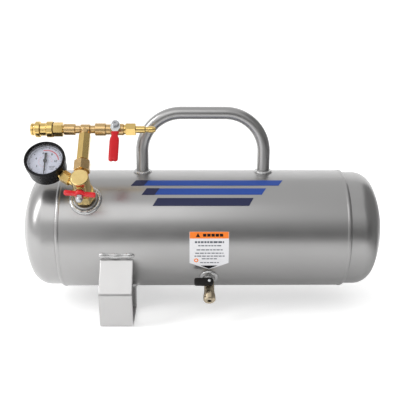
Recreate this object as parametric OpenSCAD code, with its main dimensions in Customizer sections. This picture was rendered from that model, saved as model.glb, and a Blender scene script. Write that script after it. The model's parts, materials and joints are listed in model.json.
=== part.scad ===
// Small horizontal air receiver tank with a carry handle, strap feet and a brass manifold.
// Millimetres. +X runs along the tank, +Z is up, and the floor is the plane z = 0.

/* [Tank] */
// Outside diameter of the shell
tank_d = 152.4; // [148:0.1:160]
// Length of the rolled shell
shell_len = 354.4; // [340:0.2:380]
// Plate thickness of shell and heads
plate_t = 2.5; // [2:0.1:3]
// Straight skirt of each head that shows past the shell
skirt_len = 19.1; // [16:0.1:24]
// Outside crown radius of each dished head
crown_r = 140; // [120:1:160]
// Outside knuckle radius of each dished head
knuckle_r = 24; // [20:1:30]
// Height of the tank's axis above the floor
axis_h = 98; // [95:0.5:102]

/* [Handle and feet] */
// Diameter of the bent handle tube
tube_d = 16; // [14:0.5:18]
// Distance between the two handle legs
handle_span = 156; // [140:1:170]
// Height of the grip bar above the tank's axis
handle_rise = 152.4; // [145:0.5:158]
// Bend radius of the handle at its centreline
handle_bend_r = 50; // [44:1:54]
// Width of each strap foot
foot_w = 40.5; // [36:0.5:44]
// Centre of both feet along the tank
foot_x = -106.7; // [-112:0.1:-100]
// Thickness of the foot strap
strap_t = 3; // [2.5:0.1:3.5]

/* [Ports] */
// Place of the valve port along the tank
port_x = -144.6; // [-148:0.1:-140]
// Angle of the valve port above the horizontal
port_angle = 45; // [42:0.5:48]
// Place of the drain port along the tank
drain_x = 7; // [0:0.5:20]
// Angle of the drain port below the horizontal
drain_angle = 36; // [33:0.5:42]

/* [Manifold] */
// Distance from the tank's axis to the riser's axis
riser_r = 118; // [117:0.1:119]
// Height of the outlet bar's axis up the riser
bar_up = 75; // [74:0.1:78]
// Distance from the tank's axis to the valve body's closed face
face_r = 130; // [129:0.1:131]
// Turn of the tee handle from its closed stop
tee_turn = 10; // [0:1:15]
// Distance from the valve body's axis to the gauge's centre
gauge_reach = 56; // [55:0.1:57]
// Slope of the gauge stem
gauge_slope = 35.4; // [34:0.1:37]

/* [Hidden] */
$fn = 96;

tank_r = tank_d / 2;
head_r = tank_r - plate_t;
shell_end = shell_len / 2;
tube_r = tube_d / 2;
sit = 0.05;         // radial clearance of a threaded or running fit
eps = 0.01;
brass = "#c9a24a";
brass_tan = "#b98f55";
silver = "#b9bbbe";
steel = "#8e9196";
red = "#cc2233";
black = "#1b1b1d";
white = "#efeeea";

// ---------------------------------------------------------------- helpers

// Solid of revolution from [radius, height] points
module turned(points) rotate_extrude() polygon(points);

// Ring with a square section
module ring(ro, ri, z0, z1) turned([[ri, z0], [ro, z0], [ro, z1], [ri, z1]]);

// Hexagonal bar with chamfered ends
module hex_bar(flats, z0, z1) {
    corner = flats / sqrt(3);
    bevel = (corner - flats / 2) * 0.6;
    intersection() {
        translate([0, 0, z0]) cylinder(r=corner, h=z1 - z0, $fn=6);
        turned([[0, z0], [flats / 2, z0], [corner + eps, z0 + bevel],
            [corner + eps, z1 - bevel], [flats / 2, z1], [0, z1]]);
    }
}

// Plain hole from z0 to z1
module hole(r, z0, z1) translate([0, 0, z0]) cylinder(r=r, h=z1 - z0);

// Solid tank-sized rod that trims what is welded to the tank
module tank_rod(r) translate([0, 0, axis_h]) rotate([0, 90, 0])
    cylinder(r=r, h=shell_len + 100, center=true, $fn=720);

// Frame at the valve port: z out of the tank, y up the riser
module at_port() translate([port_x, 0, axis_h]) rotate([90 - port_angle, 0, 0]) children();

// Frame at the drain port: z out of the tank, y along the drain stem
module at_drain() translate([drain_x, 0, axis_h]) rotate([90 + drain_angle, 0, 0]) children();

// Frame at the riser's axis: z up the riser
module at_riser() at_port() translate([0, 0, riser_r]) rotate([-90, 0, 0]) children();

// Frame at the middle of the tee: x along the bar, z out of the tank
module at_tee() at_port() translate([0, bar_up, riser_r]) children();

// Turned pieces of the bar: z runs left or right from the tee
module along_left() at_tee() rotate([0, -90, 0]) children();
module along_right() at_tee() rotate([0, 90, 0]) children();

// Frame at the gauge: x along its stem towards the valve body, z out of the dial
module at_gauge() at_port()
    translate([-gauge_reach * cos(gauge_slope), gauge_reach * sin(gauge_slope), 0])
    rotate([0, 0, -gauge_slope]) children();

// Coil spring of round wire, swept along its own helix
module coil(r, wire_r, z0, z1, turns) {
    steps = 20 * turns;
    sides = 6;
    rings = [for (i = [0:steps]) let(a = 360 * turns * i / steps, z = z0 + (z1 - z0) * i / steps)
        [for (k = [0:sides - 1]) let(b = 360 * k / sides, rr = r + wire_r * cos(b))
            [rr * cos(a), rr * sin(a), z + wire_r * sin(b)]]];
    points = [for (one = rings, p = one) p];
    walls = [for (i = [0:steps - 1], k = [0:sides - 1])
        let(n = (k + 1) % sides) [i * sides + k, (i + 1) * sides + k, (i + 1) * sides + n, i * sides + n]];
    first = [for (k = [0:sides - 1]) k];
    last = [for (k = [sides - 1:-1:0]) steps * sides + k];
    polyhedron(points=points, faces=concat(walls, [first], [last]), convexity=8);
}

// ---------------------------------------------------------------- tank

// Dished head as a solid of outside radius r: z = 0 at the skirt's inner end
module head_solid(r, knuckle, crown, straight) {
    knuckle_x = r - knuckle;
    reach = crown - knuckle;
    crown_z = straight - sqrt(reach * reach - knuckle_x * knuckle_x);
    slope = atan2(straight - crown_z, knuckle_x);
    rotate_extrude() union() {
        square([r, straight]);
        intersection() {
            translate([knuckle_x, straight]) circle(r=knuckle);
            translate([0, straight - eps]) square([r, knuckle]);
        }
        intersection() {
            translate([0, crown_z]) circle(r=crown);
            polygon([[0, straight - eps], [knuckle_x, straight - eps],
                [knuckle_x + 2 * knuckle * cos(slope), straight + 2 * knuckle * sin(slope)],
                [0, straight + 2 * knuckle * sin(slope)]]);
        }
    }
}

// The skirt runs this far inside the shell
head_lap = 12;

module head() {
    difference() {
        head_solid(head_r, knuckle_r, crown_r, head_lap + skirt_len);
        translate([0, 0, -eps])
            head_solid(head_r - plate_t, knuckle_r - plate_t, crown_r - plate_t,
                head_lap + skirt_len + eps);
    }
}

module place_right() translate([shell_end - head_lap, 0, axis_h]) rotate([0, 90, 0]) children();
module place_left() mirror([1, 0, 0]) place_right() children();

module head_right() color(silver) place_right() head();
module head_left() color(silver) place_left() head();

// Radius of the valve bung and of the drain bung
bung_r = 15;
drain_bung_r = 7;

module shell() color(silver) difference() {
    translate([0, 0, axis_h]) rotate([0, 90, 0])
        difference() {
            cylinder(r=tank_r, h=shell_len, center=true);
            cylinder(r=head_r + eps, h=shell_len + 2, center=true);
        }
    at_port() hole(bung_r + eps, 60, 90);
    at_drain() hole(drain_bung_r + eps, 60, 90);
}

// Weld bead in the corner between the shell's end and a head's skirt
module seam_bead() rotate_extrude() translate([head_r, 0]) intersection() {
    circle(r=3.4);
    square(4);
}

module seam_weld_right() color(silver)
    translate([shell_end, 0, axis_h]) rotate([0, 90, 0]) seam_bead();
module seam_weld_left() color(silver) mirror([1, 0, 0])
    translate([shell_end, 0, axis_h]) rotate([0, 90, 0]) seam_bead();

// ---------------------------------------------------------------- handle and feet

leg_x = handle_span / 2;
bend_z = handle_rise - handle_bend_r;

// Handle as a rod of radius r, legs running into the tank
module handle_rod(r) translate([0, 0, axis_h]) {
    for (side = [-1, 1]) {
        translate([side * leg_x, 0, tank_r - 6]) cylinder(r=r, h=bend_z - tank_r + 6);
        translate([side * (leg_x - handle_bend_r), 0, bend_z]) rotate([90, 0, 0])
            rotate([0, 0, side > 0 ? 0 : 90])
                rotate_extrude(angle=90) translate([handle_bend_r, 0]) circle(r=r);
    }
    translate([0, 0, handle_rise]) rotate([0, 90, 0])
        cylinder(r=r, h=handle_span - 2 * handle_bend_r, center=true);
}

module carry_handle() color(silver) difference() {
    handle_rod(tube_r);
    handle_rod(tube_r - 1.6);
    tank_rod(tank_r);
}

module handle_welds() color(silver) difference() {
    for (side = [-1, 1]) translate([side * leg_x, 0, axis_h + tank_r - 3])
        turned([[tube_r, 0], [tube_r + 6.5, 0], [tube_r + 3.5, 3.6], [tube_r + 1, 7], [tube_r, 8]]);
    tank_rod(tank_r);
}

// A path of 2-D points with its corners rounded, as [place, normal] pairs
function unit(v) = v / norm(v);
function left_of(v) = [-v[1], v[0]];
function turn(v, a) = [v[0] * cos(a) - v[1] * sin(a), v[0] * sin(a) + v[1] * cos(a)];
function corner_pairs(before, at, after, r, n) =
    let(u = unit(at - before), v = unit(after - at),
        bend = atan2(u[0] * v[1] - u[1] * v[0], u * v),
        s = sign(bend),
        centre = at - u * r * tan(abs(bend) / 2) + left_of(u) * r * s)
    [for (k = [0:n]) let(d = turn(u, bend * k / n)) [centre - left_of(d) * r * s, left_of(d)]];
function rounded_path(p, r, n=6) =
    let(last = len(p) - 1)
    concat([[p[0], left_of(unit(p[1] - p[0]))]],
        [for (i = [1:last - 1], one = corner_pairs(p[i - 1], p[i], p[i + 1], r, n)) one],
        [[p[last], left_of(unit(p[last] - p[last - 1]))]]);

// Centreline of the foot strap in the (y, z) plane, measured from the tank's axis
foot_low = -axis_h + strap_t / 2;
foot_path = [[-70, -13.5], [-101.9, -52], [-93.6, foot_low], [-39.5, foot_low], [-33, -60]];
foot_bend_r = 5;

module foot() {
    pairs = rounded_path(foot_path, foot_bend_r);
    outside = [for (one = pairs) one[0] - one[1] * strap_t / 2];
    inside = [for (i = [len(pairs) - 1:-1:0]) pairs[i][0] + pairs[i][1] * strap_t / 2];
    difference() {
        translate([foot_x - foot_w / 2, 0, axis_h]) rotate([90, 0, 90])
            linear_extrude(foot_w) polygon(concat(outside, inside));
        tank_rod(tank_r);
    }
}

module foot_front() color(silver) foot();
module foot_rear() color(silver) mirror([0, 1, 0]) foot();

// One weld bead lies along each end of a foot, where the strap meets the tank
bead_r = 3.2;
module foot_bead(angle, len) translate([foot_x, 0, axis_h]) rotate([-angle, 0, 0])
    translate([0, -tank_r, 0]) rotate([0, 90, 0]) cylinder(r=bead_r, h=len, center=true);

module foot_welds() color(silver) for (side = [0, 1]) mirror([0, side, 0]) difference() {
    union() {
        foot_bead(-10.6, foot_w - 4);
        foot_bead(-59.5, foot_w - 4);
    }
    tank_rod(tank_r);
    foot();
}

// ---------------------------------------------------------------- ports

valve_thread_r = 6.6;
drain_thread_r = 5;

module valve_bung() color(silver) at_port() difference() {
    turned([[0, 69], [bung_r, 69], [bung_r, 79], [bung_r - 1, 80], [0, 80]]);
    hole(valve_thread_r + sit, 60, 90);
}

module drain_bung() color(silver) at_drain() difference() {
    turned([[0, 69], [drain_bung_r, 69], [drain_bung_r, 83], [drain_bung_r - 1, 84], [0, 84]]);
    hole(drain_thread_r + sit, 60, 90);
}

module bung_welds() color(silver) difference() {
    union() {
        at_port() turned([[bung_r, 72], [bung_r + 5, 72], [bung_r + 3.6, 76.6],
            [bung_r + 1, 78.6], [bung_r, 78.8]]);
        at_drain() turned([[drain_bung_r, 74], [drain_bung_r + 5, 74],
            [drain_bung_r + 2.4, 78], [drain_bung_r, 80.4]]);
    }
    tank_rod(tank_r);
}

// ---------------------------------------------------------------- decals

decal_t = 0.2;

// Skin of the shell inside the region that the children cut, looking along the given angle
module skin(angle) intersection() {
    translate([0, 0, axis_h]) rotate([0, 90, 0]) difference() {
        cylinder(r=tank_r + decal_t, h=shell_len - 20, center=true);
        cylinder(r=tank_r, h=shell_len, center=true);
    }
    translate([0, 0, axis_h]) rotate([90 - angle, 0, 0]) linear_extrude(tank_r + 5) children();
}

// Three slanted bars, each shorter than the one above it
stripe_angle = 57;
module stripe_decal() color("#1f57a4") skin(stripe_angle) for (i = [0:2])
    polygon([[-84 + 14 * i, 16 - 15 * i], [100 - 22 * i, 16 - 15 * i],
        [94 - 22 * i, 6 - 15 * i], [-90 + 14 * i, 6 - 15 * i]]);

label_x = 6.6;
label_w = 48;
label_angle = -3;
module info_label() color(white) skin(label_angle) polygon([
    [label_x - label_w / 2, 22.8], [label_x + label_w / 2, 22.8],
    [label_x + label_w / 2, -18], [label_x, -28], [label_x - label_w / 2, -18]]);

// ---------------------------------------------------------------- shut-off valve

body_r = 10.8;
base_top = 99;   // top of the hexagonal base, measured from the tank's axis
gauge_r = 104.5;    // gauge stem's axis, measured from the tank's axis
ball_r = 5.5;
stem_r = 2.4;
port_thread_r = 5.1;
gauge_thread_r = 4.6;
flow_r = 3.2;

module valve_body() color(brass) difference() {
    at_port() {
        hole(valve_thread_r, 71, 84.5);
        hex_bar(24, 84, base_top);
        turned([[0, base_top - eps], [body_r, base_top - eps], [body_r, face_r - 1],
            [body_r - 1, face_r], [0, face_r]]);
    }
    at_port() hole(flow_r, 70, riser_r);
    at_port() hole(4.4 + sit, 109, riser_r);
    at_riser() {
        hole(ball_r + 0.15, -12, 4.6);
        hole(port_thread_r + sit, 4.5, 12);
    }
    at_gauge() translate([0, 0, gauge_r]) rotate([0, 90, 0])
        hole(gauge_thread_r + sit, gauge_reach - 11.5, gauge_reach - 5);
    at_gauge() translate([0, 0, gauge_r]) rotate([0, 90, 0]) hole(2, gauge_reach - 6, gauge_reach);
}

// L-bored ball: one leg runs up the riser, the other faces the inlet when open
module valve_ball() color(steel) at_riser() rotate([0, 0, tee_turn]) difference() {
    sphere(r=ball_r);
    hole(2.6, 0, 8);
    rotate([0, 90, 0]) hole(2.6, 0, 8);
    translate([-1.1, -8, -8]) cube([2.2, 16, 4.6]);
}

// The two seats bear on the ball at the inlet and at the riser
module valve_seats() color(white) difference() {
    union() {
        at_port() ring(4.3, 2.8, 109.2, 114.6);
        at_riser() ring(5, 2.8, 4.5, 6.2);
    }
    at_riser() sphere(r=ball_r + 0.06);
}

gland_out = -12.6;
module valve_gland() color(brass_tan) at_riser() difference() {
    union() {
        hole(ball_r, -10.9, -6.2);
        hex_bar(10.5, gland_out, -10.9);
    }
    hole(stem_r + sit, -20, 0);
}

hub_in = -13.1;
hub_out = -19;
stud_r = 1.9;
module valve_stem() color(steel) at_riser() rotate([0, 0, tee_turn]) union() {
    translate([-1, -3.4, -5.6]) cube([2, 6.8, 2.1]);
    hole(stem_r, hub_out, -5.5);
    hole(stud_r, hub_out - 3.8, hub_out + eps);
}

module tee_handle() color(red) at_riser() rotate([0, 0, tee_turn]) difference() {
    union() {
        turned([[0, hub_out + 0.6], [5.4, hub_out + 0.6], [6.4, hub_out + 1.6],
            [6.4, hub_in - 0.8], [5.6, hub_in], [0, hub_in]]);
        for (side = [-1, 1]) translate([0, 0, -17.6]) linear_extrude(4.1)
            polygon([[side * 4, -3.2], [side * 11, -3.9], [side * 16.4, -4.3], [side * 18.3, -3.2],
                [side * 18.3, 3.2], [side * 16.4, 4.3], [side * 11, 3.9], [side * 4, 3.2]]);
    }
    hole(stem_r, -30, 0);
}

// Domed nut that holds the tee handle on the stem's stud
module handle_nut() color(steel) at_riser() rotate([0, 0, tee_turn]) difference() {
    union() {
        hex_bar(8.2, -22.6, hub_out - sit);
        turned([[0, -26.8], [2, -26.4], [3.4, -25.4], [4, -23.8], [4, -22.5], [0, -22.5]]);
    }
    hole(stud_r + sit, hub_out - 4, hub_out + 1);
}

// ---------------------------------------------------------------- riser and tee

module riser_nipple() color(brass_tan) at_riser() difference() {
    union() {
        hole(port_thread_r, 6.3, 37);
        rotate([0, 0, 30]) hex_bar(18, 14.5, 28);
    }
    hole(flow_r, 0, 40);
}

extension_z0 = 30;
extension_z1 = 66.5;
module riser_extension() color(brass) at_riser() difference() {
    rotate([0, 0, 30]) hex_bar(13.4, extension_z0, extension_z1);
    hole(port_thread_r + sit, extension_z0 - 1, 38);
    hole(flow_r, 37, 60);
    hole(port_thread_r + sit, 57, extension_z1 + 1);
}

arm_r = 4.9;
arm_len = 17.5;
module tee() color(brass_tan) at_tee() difference() {
    union() {
        rotate([0, 90, 0]) turned([[0, -arm_len], [arm_r, -arm_len], [arm_r, -6.6], [6.3, -5.2],
            [6.3, 5.2], [arm_r, 6.6], [arm_r, arm_len], [0, arm_len]]);
        rotate([90, 0, 0]) turned([[0, 0], [6.2, 0], [6.2, 7.4], [5.4, 8.4], [port_thread_r, 8.5],
            [port_thread_r, 17], [0, 17]]);
    }
    rotate([0, 90, 0]) hole(flow_r, -20, 20);
    rotate([90, 0, 0]) hole(flow_r, 0, 20);
}

collar_in = 12;
module collar_left() color(brass_tan) along_left() difference() {
    turned([[0, collar_in], [6.4, collar_in], [6.9, collar_in + 0.5], [6.9, 25.4], [6.4, 25.9],
        [0, 25.9]]);
    hole(arm_r + sit, 0, 40);
}

module collar_right() color(brass_tan) along_right() difference() {
    turned([[0, collar_in], [7.2, collar_in], [7.7, collar_in + 0.5], [7.7, 24.6], [7.2, 25.1],
        [0, 25.1]]);
    hole(arm_r + sit, 0, 40);
}

// ---------------------------------------------------------------- quick coupler

barrel_r = 6.3;
mouth_r = 4.45;
chamber_r = 5;
chamber_in = 31;
hex_in = 27.2;
hex_out = 38.8;
barrel_end = 66;
lock_ball_r = 0.9;
lock_at = 56;
mouth_in = 49.2;    // the mouth's bore runs from here to the barrel's end

module lock_ball_places() for (i = [0:5]) rotate([0, 0, 60 * i])
    translate([mouth_r + 0.03 + lock_ball_r, 0, lock_at]) children();

module coupler_body() color(brass) along_left() difference() {
    union() {
        hole(arm_r, 18, 28);
        hex_bar(15.2, hex_in, hex_out);
        hole(barrel_r, 38, barrel_end);
    }
    hole(flow_r, 0, chamber_in + 1);
    hole(chamber_r, chamber_in, mouth_in);
    hole(mouth_r, mouth_in - 0.1, 70);
    for (i = [0:5]) rotate([0, 0, 60 * i]) translate([0, 0, lock_at]) rotate([0, 90, 0])
        hole(lock_ball_r + sit, 2, 8);
}

module coupler_balls() color(steel) along_left() lock_ball_places() sphere(r=lock_ball_r);

module coupler_nose_ring() color(brass) along_left()
    turned([[barrel_r, 63], [7.2, 63], [7.5, 63.4], [7.5, 65.4], [7, barrel_end], [barrel_r, barrel_end]]);

skirt_r = 9.15;     // the sleeve's rear skirt clears the hexagon's corners
spring_room_r = 7.2;
module coupler_sleeve() color(brass) along_left() turned([
    [skirt_r, 39.2], [9.5, 39.2], [9.85, 39.7], [9.85, 46.2], [9.3, 46.8], [7.9, 47.4],
    [7.9, 53.9], [9.3, 54.5], [9.85, 55.1], [9.85, 59.6], [9.3, 60.4], [7.6, 61], [7.3, 62.6],
    [barrel_r + 0.08, 62.6], [barrel_r + 0.08, 53], [spring_room_r, 53], [spring_room_r, 44.5],
    [skirt_r, 43.5]]);

module coupler_spring() color(steel) along_left() coil(6.78, 0.3, 39.3, 48.9, 5);

module poppet_spring() color(steel) along_left() coil(4.2, 0.35, chamber_in + 0.6, 38.4, 5);

module coupler_poppet() color(brass_tan) along_left() turned([
    [0, 42.4], [chamber_r - 0.08, 42.4], [chamber_r - 0.08, 44.2], [3, 44.6], [3, 45.2],
    [4.3, 45.4], [4.3, 46.3], [2, 46.6], [2, 47.9], [1.5, 48.4], [0, 48.4]]);

module coupler_seal() color(black) along_left() rotate_extrude() translate([4.12, 47.7]) circle(r=0.86);

// ---------------------------------------------------------------- lever ball valve

lever_x = 37.5;
small_ball_r = 4;
small_stem_r = 2;
end_in = 42.8;

module lever_valve_body() color(brass_tan) difference() {
    union() {
        along_right() turned([[0, 18.5], [arm_r, 18.5], [arm_r, 25.2], [6.4, 25.2], [6.4, 30.4],
            [7.2, 31.4], [7.2, 46.4], [6.6, 47], [0, 47]]);
        at_tee() translate([lever_x, 0, 0]) hole(4.5, 0, 9.4);
    }
    along_right() {
        hole(2.6, 0, 40);
        hole(small_ball_r + 0.1, 32.6, 44);
        hole(5.2 + sit, end_in, 48);
    }
    at_tee() translate([lever_x, 0, 0]) hole(small_stem_r + sit, 0, 20);
}

module lever_valve_end() color(brass) along_right() difference() {
    union() {
        hole(5.2, end_in, 47.2);
        hole(6, 47.1, 49.3);
        rotate([0, 0, 30]) hex_bar(14.2, 49.2, 61.5);
    }
    hole(2.6, 40, 56);
    hole(4.1 + sit, 55, 70);
}

module lever_valve_seats() color(white) along_right() difference() {
    union() {
        ring(small_ball_r, 2.7, 32.7, 35.4);
        ring(small_ball_r, 2.7, 39.6, 42.7);
    }
    translate([0, 0, lever_x]) sphere(r=small_ball_r + 0.06);
}

module at_lever() at_tee() translate([lever_x, 0, 0]) children();

// The bore lies across the bar when the lever hangs down
module lever_valve_ball() color(steel) at_lever() difference() {
    sphere(r=small_ball_r);
    rotate([90, 0, 0]) hole(2.4, -8, 8);
    translate([-0.85, -6, 3]) cube([1.7, 12, 3]);
}

plate_in = 9.7;
plate_out = 11.2;
module lever_valve_stem() color(steel) at_lever() union() {
    translate([-0.8, -1.8, 3.1]) cube([1.6, 3.6, 1.6]);
    hole(small_stem_r, 4.6, plate_out);
    hole(1.5, plate_out - eps, 13.4);
}

lever_tip = -52.8;
grip_top = -10.8;
shank = [[3, grip_top + 1], [3, lever_tip + 2], [-3, lever_tip + 2], [-3, grip_top + 1]];

// Flat lever, wide round the stem and narrow inside the grip
module lever_blank() translate([0, 0, plate_in]) linear_extrude(plate_out - plate_in)
    polygon(concat([[-5.9, -5], [-5.2, 1.6], [-3.6, 4.4], [-1.2, 5.5], [1.2, 5.5], [3.6, 4.4],
        [5.2, 1.6], [5.9, -5]], shank));

module lever_plate() color(silver) at_lever() difference() {
    lever_blank();
    hole(small_stem_r, 0, 20);
}

// Dipped sleeve over the plate, narrow at the neck
module lever_grip() color(red) at_lever() difference() {
    translate([0, 0, 8.4]) linear_extrude(5) polygon([
        [-4.8, grip_top], [4.8, grip_top], [4.6, grip_top - 4], [5.3, grip_top - 9],
        [5.3, lever_tip + 2], [4.2, lever_tip], [1, lever_tip], [0, lever_tip + 1.6],
        [-1, lever_tip], [-4.2, lever_tip], [-5.3, lever_tip + 2], [-5.3, grip_top - 9],
        [-4.6, grip_top - 4]]);
    lever_blank();
}

module lever_nut() color(steel) at_lever() difference() {
    hex_bar(7.6, plate_out, 14.2);
    hole(1.5, 10, 20);
}

module inlet_plug() color(brass) along_right() difference() {
    turned([[0, 56.2], [4.1, 56.2], [4.1, 61.6], [4.35, 61.6], [4.35, 72.4], [3.4, 73.6],
        [3.4, 76.4], [4.1, 77.4], [4.1, 82], [3.1, 85.2], [2.7, 85.7], [0, 85.7]]);
    hole(2.2, 50, 90);
}

// ---------------------------------------------------------------- gauge

case_r = 23.2;
case_back = 94.6;
dial_z = 111.8;
bezel_r = 24.6;
stem_s = 6.6;       // radius of the hole that the stem passes in the case

module gauge_case() color(black) at_gauge() difference() {
    turned([[0, case_back], [case_r - 1.5, case_back], [case_r, case_back + 1.5], [case_r, 115.8],
        [0, 115.8]]);
    hole(case_r - 1.6, case_back + 1.6, 120);
    translate([0, 0, gauge_r]) rotate([0, 90, 0]) hole(stem_s, 10, 30);
}

module gauge_bezel() color(black) at_gauge() turned([
    [case_r + 0.02, 111], [bezel_r, 111], [bezel_r, 118.3], [bezel_r - 0.9, 119.5],
    [22.2, 119.5], [21.2, 118.2], [21.2, 117.6], [case_r + 0.02, 117.6]]);

module gauge_lens() color([0.9, 0.95, 1, 0.3]) at_gauge() hole(case_r - 0.2, 116, 117.5);

module gauge_dial() color(white) at_gauge() difference() {
    ring(case_r - 1.7, 1.4, dial_z, dial_z + 0.8);
    translate([17, 0, dial_z - 1]) cylinder(r=0.8, h=3);
    translate([-17, 0, dial_z - 1]) cylinder(r=0.8, h=3);
}

// Pointer, hub, spindle and pinion turn as one
spindle_r = 0.8;
pinion_r = 1.8;
needle_z = dial_z + 2.2;
module gauge_needle() color(black) at_gauge() union() {
    hole(spindle_r, 97.8, needle_z + 1.4);
    hole(pinion_r, 101.2, 102.6);
    hole(2.3, needle_z - 0.5, needle_z + 1.2);
    rotate([0, 0, -90 + gauge_slope]) translate([0, 0, needle_z]) linear_extrude(0.6)
        polygon([[-11, -1.6], [-4, -1.2], [0, -1], [16, -0.5], [20.2, -0.15], [20.2, 0.15],
            [16, 0.5], [0, 1], [-4, 1.2], [-11, 1.6]]);
}

// Two plates on pillars carry the spindle and the sector's pin
sector_x = 9.5;
sector_pin_r = 0.9;
module gauge_movement() color(brass) at_gauge() difference() {
    union() {
        for (z = [98.6, 104.6]) translate([-4, -4, z]) cube([19, 8, 1]);
        for (y = [-2.8, 2.8]) translate([13.6, y, 0]) hole(0.9, 98.7, 105.5);
        translate([14, -4, 98.6]) cube([5, 6.2, 1]);
    }
    hole(spindle_r + sit, 90, 110);
    translate([sector_x, 0, 0]) hole(sector_pin_r + sit, 90, 110);
}

sector_r = sector_x - pinion_r - 0.12;
module gauge_sector() color(brass_tan) at_gauge() translate([sector_x, 0, 0]) union() {
    hole(sector_pin_r, 98.4, 105.8);
    translate([0, 0, 101.2]) intersection() {
        hole(sector_r, 0, 1.4);
        rotate([0, 0, 180]) linear_extrude(1.4) polygon(concat([[-1.6, 1.6], [-1.6, -1.6]],
            [for (a = [-67, -31, 4]) 10 * [cos(a), sin(a)]]));
    }
}

// Flattened tube bent to most of a circle, fed by the socket and closed at its far end
tube_bend_r = 17.6;
module gauge_bourdon() color(brass) at_gauge() translate([0, 0, gauge_r - 4.3]) rotate([0, 0, 10])
    rotate_extrude(angle=270) translate([tube_bend_r, 0]) difference() {
        translate([-1, -3]) square([2, 6]);
        translate([-0.6, -2.6]) square([1.2, 5.2]);
    }

module gauge_stem() color(brass) at_gauge() translate([0, 0, gauge_r]) rotate([0, 90, 0])
    difference() {
        union() {
            hex_bar(8.4, 16.9, 24.4);
            hole(5.6, 22.6, 26);
            hex_bar(13, 25.4, 38);
            hole(gauge_thread_r, 37, gauge_reach - 5.4);
        }
        hole(1.6, 20, 60);
        rotate([0, -90, 0]) translate([0, 0, -4.3])
            ring(tube_bend_r + 1.05, tube_bend_r - 1.05, -3.05, 3.05);
    }

// ---------------------------------------------------------------- drain cock

drain_ball_at = 90.2;
drain_ball_r = 4.2;
drain_stem_r = 1.8;
drain_end = 111;

module drain_body() color(brass) at_drain() difference() {
    union() {
        turned([[0, 72], [drain_thread_r, 72], [drain_thread_r, 84.1], [6.3, 84.1], [6.3, 98],
            [6.9, 101], [7.5, 104], [7.5, 109.4], [6.4, drain_end], [0, drain_end]]);
        translate([0, 0, drain_ball_at]) rotate([-90, 0, 0]) hole(3.6, 0, 7.4);
    }
    hole(2.2, 60, 120);
    hole(drain_ball_r + 0.1, 85.2, 95.2);
    hole(2.75, 95, 120);
    translate([0, 0, drain_ball_at]) rotate([-90, 0, 0]) hole(drain_stem_r + sit, 0, 10);
}

module drain_seats() color(white) at_drain() difference() {
    union() {
        ring(drain_ball_r, 2.4, 85.3, 88);
        ring(drain_ball_r, 2.4, 92.4, 95.1);
    }
    translate([0, 0, drain_ball_at]) sphere(r=drain_ball_r + 0.06);
}

module at_cock() at_drain() translate([0, 0, drain_ball_at]) rotate([-90, 0, 0]) children();

module drain_ball() color(steel) at_cock() difference() {
    sphere(r=drain_ball_r);
    rotate([0, 90, 0]) hole(2, -8, 8);
    translate([-6, -0.85, 2.8]) cube([12, 1.7, 3]);
}

lever_in = 7.9;
lever_out = 13.6;
module drain_stem() color(steel) at_cock() difference() {
    union() {
        translate([-1.6, -0.8, 2.9]) cube([3.2, 1.6, 1.6]);
        hole(drain_stem_r, 4.4, lever_out);
    }
    hole(0.9, lever_out - 5, lever_out + 1);
}

module drain_lever() color(black) at_cock() difference() {
    translate([0, 0, lever_in]) linear_extrude(lever_out - lever_in) union() {
        circle(r=5.3);
        polygon([[0, -5.3], [0, 5.3], [-17, 4.5], [-18.6, 3.4], [-18.6, -3.4], [-17, -4.5]]);
    }
    hole(drain_stem_r, 0, 20);
}

module drain_screw() color(silver) at_cock() union() {
    turned([[0, lever_out + 0.02], [1.9, lever_out + 0.02], [1.9, 14.4], [1.3, 15], [0, 15.2]]);
    hole(0.85, lever_out - 4, lever_out + 0.2);
}

// ---------------------------------------------------------------- nodes

shell();
head_left();
head_right();
seam_weld_left();
seam_weld_right();
carry_handle();
handle_welds();
foot_front();
foot_rear();
foot_welds();
valve_bung();
drain_bung();
bung_welds();
stripe_decal();
info_label();
valve_body();
valve_ball();
valve_seats();
valve_stem();
valve_gland();
tee_handle();
handle_nut();
riser_nipple();
riser_extension();
tee();
collar_left();
collar_right();
coupler_body();
coupler_sleeve();
coupler_spring();
coupler_balls();
coupler_nose_ring();
coupler_poppet();
poppet_spring();
coupler_seal();
lever_valve_body();
lever_valve_end();
lever_valve_ball();
lever_valve_seats();
lever_valve_stem();
lever_plate();
lever_grip();
lever_nut();
inlet_plug();
gauge_case();
gauge_bezel();
gauge_lens();
gauge_dial();
gauge_needle();
gauge_movement();
gauge_sector();
gauge_bourdon();
gauge_stem();
drain_body();
drain_ball();
drain_seats();
drain_stem();
drain_lever();
drain_screw();
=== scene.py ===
"""Looks of the air receiver tank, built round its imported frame. Metres, +Z up, the floor at z = 0."""

import json
import random
from math import acos, asin, copysign, cos, pi, radians, sin, sqrt, tau

import bmesh
import bpy
from mathutils import Matrix, Vector, noise


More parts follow.
